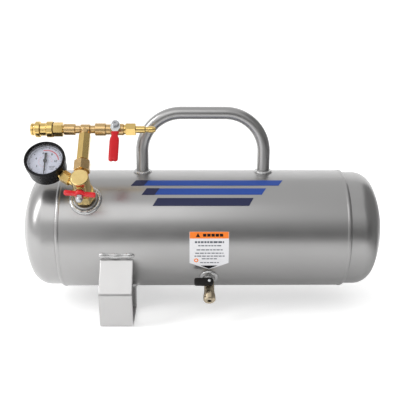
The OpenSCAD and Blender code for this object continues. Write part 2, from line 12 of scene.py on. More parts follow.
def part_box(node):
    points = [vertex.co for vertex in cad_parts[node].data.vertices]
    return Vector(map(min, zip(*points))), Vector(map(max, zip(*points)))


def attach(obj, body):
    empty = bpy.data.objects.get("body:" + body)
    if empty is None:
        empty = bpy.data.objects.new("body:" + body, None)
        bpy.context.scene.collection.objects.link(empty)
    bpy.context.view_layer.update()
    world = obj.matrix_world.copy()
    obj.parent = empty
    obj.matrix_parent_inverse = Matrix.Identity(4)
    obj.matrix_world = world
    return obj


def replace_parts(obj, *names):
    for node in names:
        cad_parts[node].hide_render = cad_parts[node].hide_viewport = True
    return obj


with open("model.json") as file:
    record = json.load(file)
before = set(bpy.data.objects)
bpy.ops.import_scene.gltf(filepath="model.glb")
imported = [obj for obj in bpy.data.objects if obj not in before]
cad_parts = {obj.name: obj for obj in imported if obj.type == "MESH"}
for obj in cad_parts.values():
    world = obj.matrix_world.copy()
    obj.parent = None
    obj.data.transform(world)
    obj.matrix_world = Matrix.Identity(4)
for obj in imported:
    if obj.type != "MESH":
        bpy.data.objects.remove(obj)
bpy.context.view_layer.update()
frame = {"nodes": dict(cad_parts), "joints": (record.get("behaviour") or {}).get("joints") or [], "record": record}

MM = 0.001
JOINTS = {joint["name"]: joint for joint in frame["joints"]}

# ---------------------------------------------------------------- frames worked out from the joints

X_AXIS = Vector((1, 0, 0))
OUT = Vector(JOINTS["lever_turn"]["axis"])           # out of the tank at the valve port
UP = Vector(JOINTS["shutoff_turn"]["axis"])          # up the riser
LEVER_AT = Vector(JOINTS["lever_turn"]["pos_m"])
RISER_AT = Vector(JOINTS["shutoff_turn"]["pos_m"])
DIAL_AT = Vector(JOINTS["needle_turn"]["pos_m"])
DRAIN_AT = Vector(JOINTS["drain_turn"]["pos_m"])
DRAIN_UP = Vector(JOINTS["drain_turn"]["axis"])

SHELL_LOW, SHELL_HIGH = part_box("shell")
TANK_R = (SHELL_HIGH.z - SHELL_LOW.z) / 2
AXIS_Z = (SHELL_HIGH.z + SHELL_LOW.z) / 2
SHELL_END = SHELL_HIGH.x


def axes(origin, x, z):
    """Matrix of the frame with these x and z directions at origin."""
    y = z.cross(x)
    return Matrix.Translation(origin) @ Matrix((x, y, z)).transposed().to_4x4()


def along(node_name, direction):
    """Lowest and highest reach of a CAD node along a direction."""
    reach = [vertex.co.dot(direction) for vertex in frame["nodes"][node_name].data.vertices]
    return min(reach), max(reach)


# ---------------------------------------------------------------- materials

class Look:
    """One node material, built round a Principled shader."""

    def __init__(self, name, color, roughness, metallic=0.0, **sockets):
        self.material = bpy.data.materials.new(name)
        self.material.use_nodes = True
        self.tree = self.material.node_tree
        self.shader = self.tree.nodes["Principled BSDF"]
        self.shader.inputs["Base Color"].default_value = (*color, 1)
        self.shader.inputs["Roughness"].default_value = roughness
        self.shader.inputs["Metallic"].default_value = metallic
        for socket, value in sockets.items():
            self.shader.inputs[socket.replace("_", " ")].default_value = value
        self.color = color
        self.place = self.add("ShaderNodeTexCoord").outputs["Object"]
        self.normal = None

    def add(self, kind, inputs=None, **settings):
        node = self.tree.nodes.new(kind)
        for key, value in settings.items():
            setattr(node, key, value)
        for key, value in (inputs or {}).items():
            if isinstance(value, bpy.types.NodeSocket):
                self.tree.links.new(value, node.inputs[key])
            else:
                node.inputs[key].default_value = value
        return node

    def feed(self, socket, source):
        self.tree.links.new(source, self.shader.inputs[socket])

    def spread(self, stretch):
        """Object coordinates, scaled along each axis."""
        return self.add("ShaderNodeMapping", {"Vector": self.place, "Scale": stretch}).outputs[0]

    def noise(self, scale, detail, stretch=(1, 1, 1)):
        inputs = {"Vector": self.spread(stretch), "Scale": scale, "Detail": detail, "Roughness": 0.55}
        return self.add("ShaderNodeTexNoise", inputs).outputs[0]

    def cells(self, scale):
        """Distance to the nearest of many scattered points."""
        inputs = {"Vector": self.place, "Scale": scale}
        return self.add("ShaderNodeTexVoronoi", inputs).outputs["Distance"]

    def ramp(self, source, low, high, start=0.0, end=1.0):
        """source between low and high, mapped to start and end."""
        inputs = {"Value": source, "From Min": low, "From Max": high, "To Min": start, "To Max": end}
        return self.add("ShaderNodeMapRange", inputs).outputs[0]

    def tint(self, amount, color):
        """Mixes the base colour towards color where amount is high."""
        mix = self.add("ShaderNodeMix", data_type="RGBA")
        linked = self.shader.inputs["Base Color"].links
        if linked:
            self.tree.links.new(linked[0].from_socket, mix.inputs[6])
        else:
            mix.inputs[6].default_value = (*self.color, 1)
        mix.inputs[7].default_value = (*color, 1)
        self.tree.links.new(amount, mix.inputs[0])
        self.feed("Base Color", mix.outputs[2])
        return self

    def mottle(self, scale, detail, low, high, amount, color):
        """Patches of another colour, up to this amount, where the noise goes from low to high."""
        return self.tint(self.ramp(self.noise(scale, detail), low, high, 0, amount), color)

    def lighter_edges(self, edge, amount, color):
        """A lighter colour, up to this amount, near the edges."""
        return self.tint(self.ramp(edge, 0, 1, 0, amount), color)

    def rough(self, scale, detail, low, high):
        """Roughness that goes from low to high over the middle of the noise."""
        self.feed("Roughness", self.ramp(self.noise(scale, detail), 0.35, 0.65, low, high))
        return self

    def round_edges(self, radius):
        """Softens the shading of sharp edges and returns how close the surface is to one."""
        bevel = self.add("ShaderNodeBevel", {"Radius": radius}, samples=6)
        true_normal = self.add("ShaderNodeNewGeometry").outputs["Normal"]
        normals = {0: bevel.outputs[0], 1: true_normal}
        dot = self.add("ShaderNodeVectorMath", normals, operation="DOT_PRODUCT")
        self.normal = bevel.outputs[0]
        self.feed("Normal", self.normal)
        flat, sharp = 0.995, 0.9        # cosines of the angle between the two normals
        return self.ramp(dot.outputs["Value"], flat, sharp)

    def bump(self, source, distance, strength):
        inputs = {"Height": source, "Distance": distance, "Strength": strength}
        if self.normal:
            inputs["Normal"] = self.normal
        self.normal = self.add("ShaderNodeBump", inputs).outputs[0]
        self.feed("Normal", self.normal)
        return self


def silver_paint(name, shade, edge_r=0.5 * MM):
    """Satin metallic paint: fine flakes, a slight orange peel and lighter edges."""
    color, darker = (shade, 0.99 * shade, 0.985 * shade), (0.88 * shade, 0.87 * shade, 0.87 * shade)
    look = Look(name, color, roughness=0.3, metallic=0.93, Coat_Weight=0.12, Coat_Roughness=0.2)
    edge = look.round_edges(edge_r)
    look.mottle(scale=7, detail=3, low=0.35, high=0.7, amount=0.18, color=darker)
    look.tint(look.ramp(look.cells(3000), 0.1, 0.5, 0, 0.1), (1.2 * shade,) * 3)
    look.lighter_edges(edge, amount=0.3, color=(min(1, 1.45 * shade),) * 3)
    look.rough(scale=30, detail=3, low=0.28, high=0.32)
    return look.bump(look.noise(300, 2), distance=0.01 * MM, strength=0.12)


def weld_paint():
    """The same paint over rough weld metal."""
    look = Look("weld_paint", (0.5, 0.5, 0.5), roughness=0.26, metallic=0.9,
                Coat_Weight=0.3, Coat_Roughness=0.2)
    look.mottle(scale=240, detail=4, low=0.45, high=0.75, amount=0.25, color=(0.3, 0.3, 0.305))
    look.rough(scale=500, detail=3, low=0.22, high=0.38)
    return look.bump(look.noise(700, 3), distance=0.12 * MM, strength=0.4)


def brass(name, color, dark, roughness, turned=0.4):
    """Turned brass with fine tool lines, faint tarnish and bright edges."""
    look = Look(name, color, roughness, metallic=1.0)
    edge = look.round_edges(0.3 * MM)
    look.mottle(scale=70, detail=3, low=0.45, high=0.75, amount=0.3, color=dark)
    look.lighter_edges(edge, amount=0.45, color=tuple(min(1, c * 1.25) for c in color))
    look.rough(scale=160, detail=3, low=roughness * 0.85, high=roughness * 1.2)
    tool_lines = look.noise(1800, 1, stretch=(1, 0.05, 0.05))
    return look.bump(tool_lines, distance=0.004 * MM, strength=turned)


def metal(name, color, roughness, scratches=(1, 1, 1)):
    """Plain or plated steel with a fine brushed grain."""
    look = Look(name, color, roughness, metallic=1.0)
    edge = look.round_edges(0.2 * MM)
    look.mottle(scale=220, detail=3, low=0.5, high=0.8, amount=0.3, color=tuple(c * 0.7 for c in color))
    look.lighter_edges(edge, amount=0.4, color=(0.85, 0.85, 0.85))
    look.rough(scale=400, detail=3, low=roughness * 0.7, high=roughness * 1.5)
    return look.bump(look.noise(1500, 2, scratches), distance=0.03 * MM, strength=0.3)


def enamel(name, color, roughness, coat, shine, coat_rough=0.08):
    """Glossy paint over a cast or stamped piece."""
    look = Look(name, color, roughness, Coat_Weight=coat, Coat_Roughness=coat_rough,
                Specular_IOR_Level=shine)
    edge = look.round_edges(0.4 * MM)
    look.mottle(scale=90, detail=3, low=0.4, high=0.7, amount=0.2, color=tuple(c * 0.7 for c in color))
    look.lighter_edges(edge, amount=0.3, color=tuple(min(1, c * 1.5 + 0.02) for c in color))
    look.rough(scale=300, detail=3, low=roughness * 0.8, high=roughness * 1.3)
    return look.bump(look.noise(400, 2), distance=0.015 * MM, strength=0.2)


def plastic(name, color, roughness, grain=1200):
    """Moulded plastic or rubber with a fine grain."""
    look = Look(name, color, roughness)
    edge = look.round_edges(0.3 * MM)
    look.mottle(scale=150, detail=3, low=0.4, high=0.7, amount=0.4, color=tuple(c * 0.75 for c in color))
    look.lighter_edges(edge, amount=0.3, color=tuple(min(1, c * 1.3 + 0.03) for c in color))
    look.rough(scale=400, detail=3, low=roughness * 0.85, high=roughness * 1.2)
    return look.bump(look.cells(grain), distance=0.05 * MM, strength=0.4)


def film(name, color, roughness=0.35, coat=0.08, shine=0.3):
    """Printed vinyl film: a slight mottle under a clear layer."""
    look = Look(name, color, roughness, Coat_Weight=coat, Coat_Roughness=0.15,
                Specular_IOR_Level=shine)
    look.mottle(scale=260, detail=3, low=0.4, high=0.7, amount=0.3, color=tuple(c * 0.85 for c in color))
    look.rough(scale=500, detail=2, low=roughness * 0.85, high=roughness * 1.2)
    return look.bump(look.noise(500, 2), distance=0.02 * MM, strength=0.3)


def lens_look():
    """Clear gauge lens with faint smears."""
    look = Look("lens_clear", (0.95, 0.96, 1.0), roughness=0.03, Alpha=0.05, IOR=1.45)
    return look.rough(scale=60, detail=3, low=0.02, high=0.07)


LOOKS = {
    "silver_paint": silver_paint("silver_paint", 0.385),
    # Two lighter copies of the same silver paint follow, for the drain bung and the feet. They are painted light,
    # standing in for the brighter light these parts catch.
    "silver_painted_light": silver_paint("silver_painted_light", 0.5),
    "strap_painted_light": silver_paint("strap_painted_light", 0.5, 2.2 * MM),
    "weld_paint": weld_paint(),
    "blue_vinyl": film("blue_vinyl", (0.016, 0.06, 0.30)),
    "navy_vinyl": film("navy_vinyl", (0.012, 0.016, 0.06)),
    "label_film": film("label_film", (0.70, 0.70, 0.72), 0.45, 0.1),
    "orange_ink": film("orange_ink", (0.85, 0.20, 0.02), 0.4, 0.2),
    "grey_ink": film("grey_ink", (0.09, 0.10, 0.12), 0.5, 0.1),
    "black_ink": film("black_ink", (0.008, 0.008, 0.01), 0.5, 0.0, 0.15),
    "red_ink": film("red_ink", (0.55, 0.03, 0.05), 0.45, 0.1),
    "brass_bright": brass("brass_bright", (0.74, 0.53, 0.20), (0.45, 0.27, 0.07), 0.18),
    # This lighter copy of the bright brass is for the valve body. It is a painted highlight that stands in for the
    # bright reflection on its end.
    "brass_painted_light": brass("brass_painted_light", (0.93, 0.71, 0.31), (0.62, 0.42, 0.14), 0.18),
    "brass_tan": brass("brass_tan", (0.62, 0.43, 0.21), (0.38, 0.23, 0.09), 0.24, 0.1),
    "nickel_brass": brass("nickel_brass", (0.60, 0.51, 0.37), (0.34, 0.25, 0.14), 0.27, 0.6),
    "bare_steel": metal("bare_steel", (0.50, 0.51, 0.53), 0.3),
    "zinc_plate": metal("zinc_plate", (0.74, 0.76, 0.77), 0.28, (0.2, 1, 1)),
    "seat_plastic": plastic("seat_plastic", (0.85, 0.85, 0.82), 0.4),
    "red_paint": enamel("red_paint", (0.60, 0.004, 0.010), 0.3, 0.5, 0.2, 0.25),
    "red_vinyl": enamel("red_vinyl", (0.50, 0.002, 0.008), 0.35, 0.5, 0.1, 0.3),
    "seal_rubber": plastic("seal_rubber", (0.03, 0.03, 0.03), 0.6, 900),
    "black_case": enamel("black_case", (0.004, 0.004, 0.005), 0.28, 0.04, 0.16),
    "lens_clear": lens_look(),
    "dial_white": film("dial_white", (0.50, 0.52, 0.61), 0.5, 0.1),
    "needle_black": enamel("needle_black", (0.004, 0.004, 0.004), 0.5, 0.0, 0.1),
    "black_plastic": enamel("black_plastic", (0.006, 0.005, 0.005), 0.4, 0.03, 0.2),
}


def give(piece, look_name):
    piece.data.materials.clear()
    piece.data.materials.append(LOOKS[look_name].material)


for subpart in frame["record"]["subparts"]:
    give(frame["nodes"][subpart["node"]], subpart["material_slot"])
# The valve body gets the lighter brass, which is a painted highlight.
give(frame["nodes"]["valve_body"], "brass_painted_light")
# The drain bung and the feet get the lighter copies of the paint, which is painted light.
give(frame["nodes"]["drain_bung"], "silver_painted_light")
for name in ("foot_front", "foot_rear"):
    give(frame["nodes"][name], "strap_painted_light")

# ---------------------------------------------------------------- mesh helpers


class Shape:
    """Vertices and faces of one piece, gathered solid by solid in a local frame."""

    def __init__(self, matrix=None):
        self.matrix = matrix or Matrix()
        self.vertices = []
        self.faces = []

    def add(self, vertices, faces):
        first = len(self.vertices)
        self.vertices += [self.matrix @ Vector(vertex) for vertex in vertices]
        self.faces += [tuple(first + i for i in face) for face in faces]

    def rings(self, rings, closed=False):
        """A tube through rings of points, with caps unless it closes on itself."""
        sides = len(rings[0])
        last = len(rings) if closed else len(rings) - 1
        faces = [(i * sides + k, i * sides + (k + 1) % sides,
                  (i + 1) % len(rings) * sides + (k + 1) % sides, (i + 1) % len(rings) * sides + k)
                 for i in range(last) for k in range(sides)]
        if not closed:
            top = (len(rings) - 1) * sides
            faces += [tuple(range(sides)), tuple(range(top, top + sides))]
        self.add([point for ring in rings for point in ring], faces)

    def lathe(self, profile, sides=64):
        """A turned solid from [radius, height] points along the local z axis."""
        self.rings([[(r * cos(tau * k / sides), r * sin(tau * k / sides), z) for k in range(sides)]
                    for r, z in profile])

    def prism(self, outline, low, high):
        """A flat solid with this outline between two heights."""
        self.rings([[(x, y, z) for x, y in outline] for z in (low, high)])

    def make(self, name, look_name, body="tank", crease=35):
        """Turns what was gathered into a piece that rides on a body."""
        mesh = bpy.data.meshes.new(name)
        mesh.from_pydata([tuple(vertex) for vertex in self.vertices], [], self.faces)
        bm = bmesh.new()
        bm.from_mesh(mesh)
        bmesh.ops.recalc_face_normals(bm, faces=bm.faces)
        bm.to_mesh(mesh)
        bm.free()
        mesh.shade_smooth()
        mesh.set_sharp_from_angle(angle=radians(crease))
        piece = bpy.data.objects.new(name, mesh)
        bpy.context.scene.collection.objects.link(piece)
        give(piece, look_name)
        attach(piece, body)
        return piece


def soft_box(half_a, half_b, sides=28, power=0.45):
    """Outline of a box with well rounded corners."""
    outline = []
    for k in range(sides):
        c, s = cos(tau * k / sides), sin(tau * k / sides)
        outline.append((copysign(abs(c) ** power, c) * half_a, copysign(abs(s) ** power, s) * half_b))
    return outline


def mm(*values):
    return tuple(value * MM for value in values)


# ---------------------------------------------------------------- dished heads

KNUCKLE_R, CROWN_R = 24 * MM, 140 * MM      # as in the CAD
SKIRT = 10 * MM                             # how far this skirt reaches into the shell
KNUCKLE_STEPS, CROWN_STEPS, HEAD_SIDES = 18, 26, 180


def make_head(side, name):
    """The outside of a dished head, turned from its skirt, knuckle and crown."""
    low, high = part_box("head_" + name)
    radius = (high.z - low.z) / 2
    tip = abs(low.x if side < 0 else high.x)
    reach = CROWN_R - KNUCKLE_R
    knuckle_at = radius - KNUCKLE_R
    crown_x = tip - CROWN_R
    knuckle_x = crown_x + sqrt(reach ** 2 - knuckle_at ** 2)
    slope = acos(knuckle_at / reach)
    profile = [(radius, SHELL_END - SKIRT), (radius, SHELL_END), (radius, (SHELL_END + knuckle_x) / 2)]
    for i in range(KNUCKLE_STEPS + 1):
        turn = slope * i / KNUCKLE_STEPS
        profile.append((knuckle_at + KNUCKLE_R * cos(turn), knuckle_x + KNUCKLE_R * sin(turn)))
    for i in range(1, CROWN_STEPS):
        turn = slope + (pi / 2 - slope) * i / CROWN_STEPS
        profile.append((CROWN_R * cos(turn), crown_x + CROWN_R * sin(turn)))
    shape = Shape(axes(Vector((0, 0, AXIS_Z)), Vector((0, 1, 0)), X_AXIS * side))
    shape.lathe(profile, HEAD_SIDES)
    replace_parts(shape.make(f"head_{name}_pressing", "silver_paint"), "head_" + name)


make_head(-1, "left")
make_head(1, "right")

# ---------------------------------------------------------------- weld beads

SEAM_R = 73.9 * MM                              # centre line of the girth welds
FOOT_WELDS = ((8.2, 3.1), (60.5, 8.4))          # degrees below the tank's side, and a seed
HANDLE_TUBE_R, HANDLE_SADDLE_R = 8 * MM, 9.2 * MM
SEAM_STEPS, FOOT_STEPS, BUNG_STEPS, HANDLE_STEPS = 520, 60, 140, 120
BEAD_SIDES = 12


def bead(shape, stations, half_width, height, ripple, pitch, closed, seed):
    """A rippled weld bead along [point, outward normal] stations. An open bead has rounded ends."""
    rings = []
    turns = [tau * k / BEAD_SIDES for k in range(BEAD_SIDES)]
    count = len(stations)
    travelled = 0.0
    for i, (point, normal) in enumerate(stations):
        before = stations[i - 1][0] if closed or i else point
        after = stations[(i + 1) % count][0] if closed or i < count - 1 else point
        side = (after - before).normalized().cross(normal)
        travelled += (point - before).length if i else 0.0
        wave = sin(tau * travelled / pitch)
        lump = noise.noise(Vector((travelled / (pitch * 1.7), seed, 0.5)))
        swell = 1 + ripple * (0.5 * wave + lump)
        end = 1.0 if closed else sqrt(max(0.04, 1 - abs(2 * i / (count - 1) - 1) ** 7))
        wide, tall = half_width * (1 + 0.5 * (swell - 1)) * end, height * swell * end
        rings.append([point + side * wide * cos(turn) + normal * tall * sin(turn) for turn in turns])
    shape.rings(rings, closed)


def saddle(x, angle, radius, steps):
    """Stations of a circle of this radius where a round piece meets the shell."""
    out = Vector((0, -cos(angle), sin(angle)))
    up = Vector((0, sin(angle), cos(angle)))
    lean = 0.35                                 # tips the bead outwards, along the round piece
    stations = []
    for i in range(steps):
        turn = tau * i / steps
        across = radius * sin(turn)
        depth = sqrt(TANK_R ** 2 - across ** 2)
        point = Vector((x + radius * cos(turn), 0, AXIS_Z)) + up * across + out * depth
        normal = (up * across + out * depth).normalized()
        stations.append((point, (normal + out * lean).normalized()))
    return stations


def seam(x):
    """Stations of a girth weld round the tank."""
    stations = []
    for i in range(SEAM_STEPS):
        turn = tau * i / SEAM_STEPS
        normal = Vector((0, cos(turn), sin(turn)))
        stations.append((Vector((x, 0, AXIS_Z)) + normal * SEAM_R, normal))
    return stations


def foot_line(y_side, angle):
    """Stations across a foot, this far round below the tank's side, with a sag in the middle."""
    low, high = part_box("foot_front")
    spare, sag, sink = 2.2 * MM, radians(1.1), 0.4 * MM
    stations = []
    for i in range(FOOT_STEPS + 1):
        turn = angle + sag * sin(pi * i / FOOT_STEPS)
        normal = Vector((0, y_side * cos(turn), -sin(turn)))
        x = low.x - spare + (high.x - low.x + 2 * spare) * i / FOOT_STEPS
        stations.append((Vector((x, 0, AXIS_Z)) + normal * (TANK_R - sink), normal))
    return stations


def make_seam_welds():
    past_shell = 1.1 * MM
    for side, name in ((-1, "left"), (1, "right")):
        shape = Shape()
        bead(shape, seam(side * (SHELL_END + past_shell)), half_width=3.7 * MM, height=2.8 * MM,
             ripple=0.03, pitch=3 * MM, closed=True, seed=side)
        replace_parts(shape.make("seam_bead_" + name, "silver_paint"), "seam_weld_" + name)


def make_foot_welds():
    shape = Shape()
    for y_side in (-1, 1):
        for angle, seed in FOOT_WELDS:
            bead(shape, foot_line(y_side, radians(angle)), half_width=3.9 * MM, height=2.9 * MM,
                 ripple=0.4, pitch=17 * MM, closed=False, seed=seed + y_side)
    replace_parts(shape.make("foot_weld_beads", "weld_paint"), "foot_welds")


def make_bung_welds():
    past_bung = 1.9 * MM
    shape = Shape()
    for node in ("valve_bung", "drain_bung"):
        low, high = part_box(node)
        centre = (low + high) / 2
        wide = (high.x - low.x) / 2
        angle = asin((centre.z - AXIS_Z) / Vector((0, centre.y, centre.z - AXIS_Z)).length)
        bead(shape, saddle(centre.x, angle, wide + past_bung, BUNG_STEPS), half_width=3.3 * MM,
             height=3 * MM, ripple=0.14, pitch=9 * MM, closed=True, seed=wide)
    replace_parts(shape.make("bung_weld_beads", "weld_paint"), "bung_welds")


def make_handle_welds():
    shape = Shape()
    low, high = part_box("carry_handle")
    for x in (low.x + HANDLE_TUBE_R, high.x - HANDLE_TUBE_R):
        bead(shape, saddle(x, radians(90), HANDLE_SADDLE_R, HANDLE_STEPS), half_width=2.8 * MM,
             height=2.9 * MM, ripple=0.08, pitch=4 * MM, closed=True, seed=x)
    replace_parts(shape.make("handle_weld_beads", "weld_paint"), "handle_welds")


make_seam_welds()
make_foot_welds()
make_bung_welds()
make_handle_welds()

# ---------------------------------------------------------------- decals wrapped on the shell

STRIPE_ANGLE = radians(57)      # the same view angles that the CAD decals are cut at
LABEL_ANGLE = radians(-3)
LABEL_LOW, LABEL_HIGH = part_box("info_label")
LABEL_X = (LABEL_LOW.x + LABEL_HIGH.x) / 2
INK_LOW, INK_HIGH = 0.16 * MM, 0.26 * MM


def wrapped(shape, rows, angle, low=INK_LOW, high=INK_HIGH):
    """A thin skin on the shell between rows of [height across the view, left x, right x]."""
    fine_step = 1.5 * MM
    fine = []
    for (y0, left0, right0), (y1, left1, right1) in zip(rows, rows[1:]):
        steps = max(1, round(abs(y1 - y0) / fine_step))
        fine += [(y0 + (y1 - y0) * i / steps, left0 + (left1 - left0) * i / steps,
                  right0 + (right1 - right0) * i / steps) for i in range(steps)]
    fine.append(rows[-1])
    rings = []
    for y, left, right in fine:
        turn = angle + asin(y / TANK_R)
        corners = ((left, low), (left, high), (right, high), (right, low))
        rings.append([(x, -(TANK_R + lift) * cos(turn), AXIS_Z + (TANK_R + lift) * sin(turn))
                      for x, lift in corners])
    shape.rings(rings)


def label_bar(shape, x, y, width, height):
    """A wrapped bar centred at (x, y) from the label's middle, in mm."""
    top, base = y * MM + height * MM / 2, y * MM - height * MM / 2
    left, right = LABEL_X + x * MM - width * MM / 2, LABEL_X + x * MM + width * MM / 2
    wrapped(shape, [(top, left, right), (base, left, right)], LABEL_ANGLE)


def label_patch(shape, top, base, low=INK_LOW, high=INK_HIGH):
    """A wrapped patch between two rows of [y, left x, right x] from the label's middle, in mm."""
    rows = [(y * MM, LABEL_X + left * MM, LABEL_X + right * MM) for y, left, right in (top, base)]
    wrapped(shape, rows, LABEL_ANGLE, low, high)


def make_label_head():
    """An orange band and a ring of small orange squares."""
    head = Shape()
    label_bar(head, 0, 18.7, 47.4, 7.9)
    petals, ring_x, ring_y, ring_r, petal = 8, -15.8, -14, 2.1, 1.5
    for k in range(petals):
        turn = tau * k / petals
        label_bar(head, ring_x + ring_r * cos(turn), ring_y + ring_r * sin(turn), petal, petal)
    head.make("label_orange", "orange_ink", crease=60)


def make_label_lines():
    """Rows of grey dashes where the photo has text, as [y, left x, right x, height] in mm."""
    lines = Shape()
    dash = random.Random(4)
    shortest, longest, gap, least_rest = 2.2, 5.2, 0.9, 1
    rows = ((10.3, -17.5, 18, 2.3), (5.8, -13.5, 14.5, 1.3), (0.4, -15.5, 16.5, 1.3), (-4, -17, 17.5, 1.3),
            (-8, -18, 19, 1.3), (-11.8, -9, 9.5, 1.3), (-17.4, -11, 13, 1.2))
    for y, left, right, height in rows:
        x = left
        while x < right - least_rest:
            width = min(dash.uniform(shortest, longest), right - x)
            label_bar(lines, x + width / 2, y, width, height)
            x += width + gap
    lines.make("label_lines", "grey_ink", crease=60)


def make_label_marks():
    """A pointer at the foot of the label, and a triangle and five blocks on its orange band."""
    dark = Shape()
    label_patch(dark, (-21.8, -10.5, 10.5), (-26.9, -0.5, 0.5))
    lifted = (INK_HIGH, INK_HIGH + 0.06 * MM)
    label_patch(dark, (20.9, -13.9, -13.5), (16.4, -16.4, -11), *lifted)
    first, spacing, width = -7.6, 5.1, 4.1
    for i in range(5):
        left = first + spacing * i
        label_patch(dark, (20.4, left, left + width), (17, left, left + width), *lifted)
    dark.make("label_marks", "black_ink", crease=60)


def make_stripes():
    """The lowest bar in a darker blue, and dark blocks at the left ends of the others."""
    dark = Shape()
    first_top, first_base, first_left = 16.2, 5.8, -84.4
    spacing, step_in, slant = 15, 14, 6
    for i, length in enumerate((16, 16, 118)):
        top, base = (first_top - spacing * i) * MM, (first_base - spacing * i) * MM
        left = (first_left + step_in * i) * MM
        wrapped(dark, [(top, left, left + length * MM),
                       (base, left - slant * MM, left + (length - slant) * MM)],
                STRIPE_ANGLE, INK_HIGH, INK_HIGH + 0.05 * MM)
    dark.make("stripe_blocks", "navy_vinyl", crease=60)


make_label_head()
make_label_lines()
make_label_marks()
make_stripes()

# ---------------------------------------------------------------- gauge dial

DIAL_R = 21 * MM
SWEEP = radians(270)
DIAL_TOP = along("gauge_dial", OUT)[1] - DIAL_AT.dot(OUT)
PRINT_TOP = DIAL_TOP + 0.04 * MM


def dial_point(radius, turn):
    """Point on the dial, turned clockwise from straight down."""
    return (-radius * sin(turn), -radius * cos(turn))


def dial_arc(shape, inner, outer, start, end):
    """A band between two shares of the dial's radius."""
    steps = 60
    turns = [start + (end - start) * i / steps for i in range(steps + 1)]
    outline = [dial_point(outer * DIAL_R, turn) for turn in turns]
    outline += [dial_point(inner * DIAL_R, turn) for turn in turns[::-1]]
    shape.prism(outline, DIAL_TOP, PRINT_TOP)


def dial_tick(shape, inner, outer, turn, width):
    """A tick of this width between two shares of the dial's radius."""
    inner, outer = inner * DIAL_R, outer * DIAL_R
    lean = width / 2 / outer
    shape.prism([dial_point(inner, turn - lean), dial_point(outer, turn - lean),
                 dial_point(outer, turn + lean), dial_point(inner, turn + lean)], DIAL_TOP, PRINT_TOP)


def dial_number(shape, text, radius, turn, size):
    """A number on the dial, from Blender's own font."""
    curve = bpy.data.curves.new("number", "FONT")
    curve.body = text
    curve.size = size
    curve.align_x = curve.align_y = "CENTER"
    curve.extrude = (PRINT_TOP - DIAL_TOP) / 2
    curve.offset = 0.12 * MM            # bolder strokes
    curve.resolution_u = 3
    holder = bpy.data.objects.new("number", curve)
    bpy.context.scene.collection.objects.link(holder)
    mesh = bpy.data.meshes.new_from_object(holder.evaluated_get(bpy.context.evaluated_depsgraph_get()))
    x, y = dial_point(radius, turn)
    shape.add([(vertex.co.x + x, vertex.co.y + y, vertex.co.z + (DIAL_TOP + PRINT_TOP) / 2)
               for vertex in mesh.vertices], [tuple(face.vertices) for face in mesh.polygons])
    bpy.data.objects.remove(holder)
    bpy.data.curves.remove(curve)
    bpy.data.meshes.remove(mesh)


def make_dial_marks():
    """The black print: a ring with ticks, the numbers, and three bars where a unit would be."""
    black = Shape(axes(DIAL_AT, X_AXIS, OUT))
    dial_arc(black, 0.93, 0.945, 0, SWEEP)
    marks, marks_to_major = 50, 5
    for i in range(marks + 1):
        inner, width = (0.84, 0.8 * MM) if i % marks_to_major == 0 else (0.885, 0.4 * MM)
        dial_tick(black, inner, 0.935, SWEEP * i / marks, width)
    numbers, number_step, number_r, number_size = 6, 2, 0.57 * DIAL_R, 3.9 * MM
    for i in range(numbers):
        dial_number(black, str(number_step * i), number_r, SWEEP * i / (numbers - 1), number_size)
    bars_x, first_y, row_step, first_half, shrink = 0.4, -0.36, 0.09, 0.17, 0.03    # shares of the radius
    thick = 0.6
    for i in range(3):
        y = (first_y - row_step * i) * DIAL_R
        half = (first_half - shrink * i) * DIAL_R
        corners = ((-1, 0), (1, 0), (1, thick), (-1, thick))
        black.prism([(x * half + bars_x * DIAL_R, y + dy * MM) for x, dy in corners], DIAL_TOP, PRINT_TOP)
    black.make("dial_marks", "black_ink", crease=60)


def make_dial_red_scale():
    """The red print: a band over the upper range and a second, inner scale."""
    red = Shape(axes(DIAL_AT, X_AXIS, OUT))
    dial_arc(red, 0.71, 0.77, radians(166), radians(262))
    marks, marks_to_major = 24, 4
    for i in range(marks + 1):
        inner = 0.33 if i % marks_to_major == 0 else 0.36
        dial_tick(red, inner, 0.4, SWEEP * i / marks, 0.35 * MM)
    red.make("dial_red_scale", "red_ink", crease=60)


make_dial_marks()
make_dial_red_scale()

# ---------------------------------------------------------------- handles and levers

# Each piece is drawn from the centre of its valve's ball, this far along the stem from its joint
TEE_BACK, LEVER_BACK, DRAIN_BACK = 15 * MM, 10 * MM, 10 * MM
TEE_TURN = radians(10)


def make_tee_handle():
    """Cast tee handle: two swelling wings and a domed hub."""
    shape = Shape(axes(RISER_AT + UP * TEE_BACK, X_AXIS, UP) @ Matrix.Rotation(TEE_TURN, 4, "Z"))
    middle = -15.55
    wing = [(-18.3, 1.2, 0.7), (-18.1, 2.6, 1.3), (-17.4, 3.6, 1.75), (-16.2, 4.15, 1.95), (-14, 4.2, 2.0),
            (-11, 3.9, 1.95), (-8, 3.5, 2.0), (-5, 3.3, 2.2), (0, 3.2, 2.4)]
    wing += [(-x, wide, thick) for x, wide, thick in wing[-2::-1]]
    shape.rings([[mm(x, a, middle + b) for a, b in soft_box(wide, thick)] for x, wide, thick in wing])
    hub = [(1, -18.4), (4.6, -18.4), (5.4, -18.15), (6, -17.6), (6.3, -16.8), (6.4, -15.6), (6.3, -14.6),
           (5.9, -13.8), (5.2, -13.3), (4.4, -13.12), (1, -13.12)]
    shape.lathe([mm(r, z) for r, z in hub])
    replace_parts(shape.make("tee_handle_casting", "red_paint", "shutoff"), "tee_handle")


